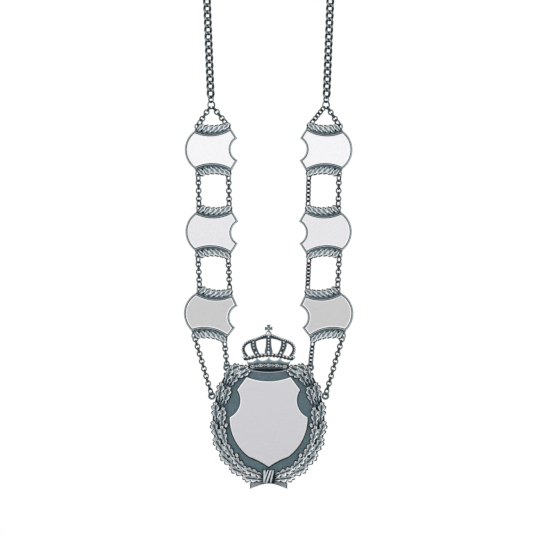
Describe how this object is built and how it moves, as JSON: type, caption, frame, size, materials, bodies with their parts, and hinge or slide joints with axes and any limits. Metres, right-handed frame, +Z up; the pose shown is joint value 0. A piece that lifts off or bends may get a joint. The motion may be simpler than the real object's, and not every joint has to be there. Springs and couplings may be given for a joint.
{
  "type": "shooting guild chain",
  "caption": "Ceremonial neck chain: curb links over the nape, two rows of blank engraving plates on link strands, and a crowned oak wreath medallion with a blank shield.",
  "frame": {"origin": "underside of the neck chain at the nape, in the middle of the chain's width, where it hangs", "axes": "+Z up, -Y out of the fronts of the plates and the medallion, +X to the viewer's right"},
  "size_m": [0.1352, 0.0064, 0.4461],
  "materials": {
    "antique_silver": "cast and silver plated, blackened in the recesses, rubbed bright on the high relief",
    "satin_silver": "satin brushed silver plate with a polished bevel, blank for engraving",
    "dark_chain": "blackened silver plated wire with polished high spots"
  },
  "bodies": {
    "root": {"neck_chain": "dark_chain", "end_ring_left": "dark_chain", "apex_ring_left": "dark_chain", "plate_left_1": "antique_silver", "plate_left_2": "antique_silver", "plate_left_3": "antique_silver", "strand_left_1_outer": "dark_chain", "strand_left_1_outer_lower_ring": "dark_chain", "strand_left_1_inner": "dark_chain", "strand_left_1_inner_lower_ring": "dark_chain", "strand_left_2_outer": "dark_chain", "strand_left_2_outer_upper_ring": "dark_chain", "strand_left_2_outer_lower_ring": "dark_chain", "strand_left_2_inner": "dark_chain", "strand_left_2_inner_upper_ring": "dark_chain", "strand_left_2_inner_lower_ring": "dark_chain", "strand_left_3_outer": "dark_chain", "strand_left_3_outer_upper_ring": "dark_chain", "strand_left_3_outer_lower_ring": "dark_chain", "strand_left_3_inner": "dark_chain", "strand_left_3_inner_upper_ring": "dark_chain", "strand_left_3_inner_lower_ring": "dark_chain", "strand_left_4_outer": "dark_chain", "strand_left_4_outer_lower_ring": "dark_chain", "strand_left_4_inner": "dark_chain", "strand_left_4_inner_upper_ring": "dark_chain", "end_ring_right": "dark_chain", "apex_ring_right": "dark_chain", "plate_right_1": "antique_silver", "plate_right_2": "antique_silver", "plate_right_3": "antique_silver", "strand_right_1_outer": "dark_chain", "strand_right_1_outer_lower_ring": "dark_chain", "strand_right_1_inner": "dark_chain", "strand_right_1_inner_lower_ring": "dark_chain", "strand_right_2_outer": "dark_chain", "strand_right_2_outer_upper_ring": "dark_chain", "strand_right_2_outer_lower_ring": "dark_chain", "strand_right_2_inner": "dark_chain", "strand_right_2_inner_upper_ring": "dark_chain", "strand_right_2_inner_lower_ring": "dark_chain", "strand_right_3_outer": "dark_chain", "strand_right_3_outer_upper_ring": "dark_chain", "strand_right_3_outer_lower_ring": "dark_chain", "strand_right_3_inner": "dark_chain", "strand_right_3_inner_upper_ring": "dark_chain", "strand_right_3_inner_lower_ring": "dark_chain", "strand_right_4_outer": "dark_chain", "strand_right_4_outer_lower_ring": "dark_chain", "strand_right_4_inner": "dark_chain", "strand_right_4_inner_upper_ring": "dark_chain", "medallion": "antique_silver", "medallion_shield": "satin_silver"}
  },
  "joints": []
}
